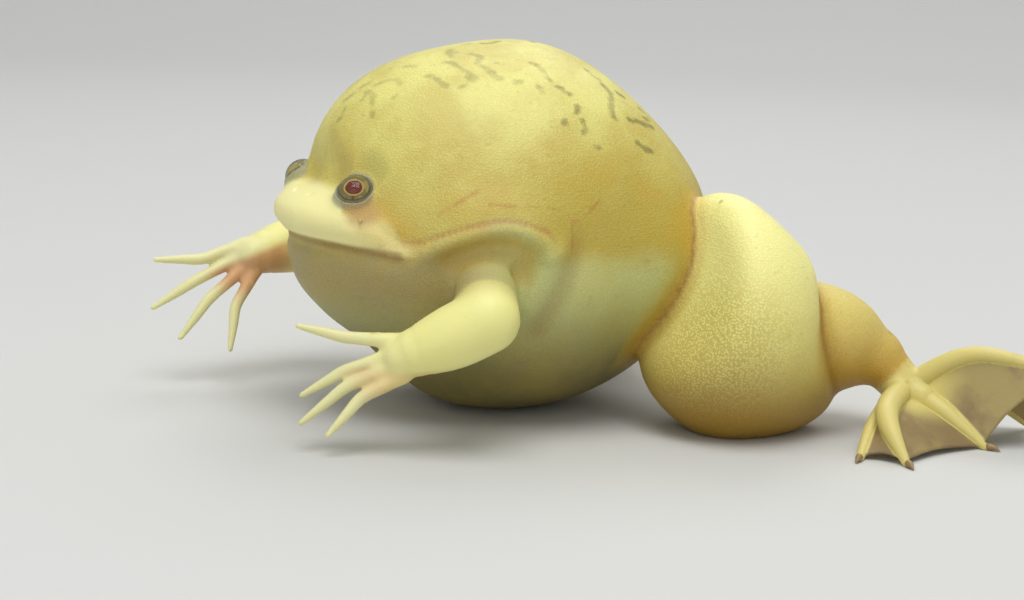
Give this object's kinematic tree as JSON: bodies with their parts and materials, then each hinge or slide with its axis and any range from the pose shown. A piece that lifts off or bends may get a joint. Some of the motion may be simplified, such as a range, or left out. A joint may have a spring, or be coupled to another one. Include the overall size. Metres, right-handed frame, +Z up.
{
  "type": "african clawed frog",
  "caption": "Pale swollen clawed frog at rest on its belly, arms held out in front, webbed hind feet spread to the sides.",
  "frame": {"origin": "middle of the object's footprint, on the floor it rests on", "axes": "+Z up; the frog faces -X, so its tail end is +X and its right side is +Y"},
  "size_m": [0.1842, 0.1742, 0.0868],
  "materials": {
    "skin_pale": "soft wet skin",
    "skin_gold": "soft wet skin",
    "skin_belly": "soft wet skin",
    "eye_red": "wet gloss",
    "claw_horn": "smooth horn"
  },
  "bodies": {
    "root": {"torso": "skin_belly", "head": "skin_pale", "eye_left": "eye_red", "eye_right": "eye_red", "upper_arm_left": "skin_pale", "upper_arm_right": "skin_pale", "forearm_left": "skin_pale", "forearm_right": "skin_pale", "hand_left": "skin_pale", "hand_right": "skin_pale", "thigh_left": "skin_gold", "thigh_right": "skin_gold", "shank_left": "skin_gold", "shank_right": "skin_gold", "foot_left": "skin_pale", "foot_right": "skin_pale", "claw_left_1": "claw_horn", "claw_left_2": "claw_horn", "claw_left_3": "claw_horn", "claw_right_1": "claw_horn", "claw_right_2": "claw_horn", "claw_right_3": "claw_horn"}
  },
  "joints": []
}
